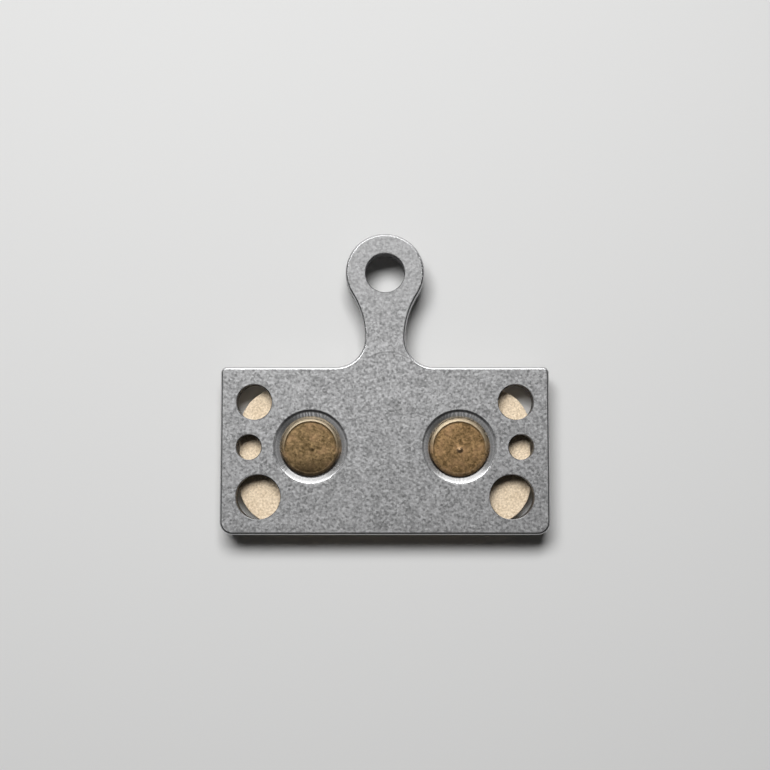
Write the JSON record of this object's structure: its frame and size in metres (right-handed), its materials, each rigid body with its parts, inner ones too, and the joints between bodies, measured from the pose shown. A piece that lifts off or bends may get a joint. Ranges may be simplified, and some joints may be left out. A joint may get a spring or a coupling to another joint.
{
  "type": "bicycle disc brake pad",
  "caption": "Disc brake pad: a sintered friction block riveted through countersunk seats to a flat metal backing plate with lightening holes and a tab that ends in a pierced eyelet.",
  "frame": {"origin": "middle of the friction face, where the pad meets the rotor", "axes": "+Z from the friction face to the plate's back, up as the pad lies; +X along the plate's width; +Y towards the hanging tab"},
  "size_m": [0.033, 0.0304, 0.004],
  "materials": {
    "blasted_titanium": "bead-blasted titanium, fine even grain, brighter on rounded edges",
    "sintered_friction": "sintered metal, cream, fine granular and matte",
    "rivet_bronze": "brown bronze, matte and grainy, paler on the rounded edge"
  },
  "bodies": {
    "root": {"backing_plate": "blasted_titanium", "friction_pad": "sintered_friction", "left_rivet": "rivet_bronze", "right_rivet": "rivet_bronze"}
  },
  "joints": []
}
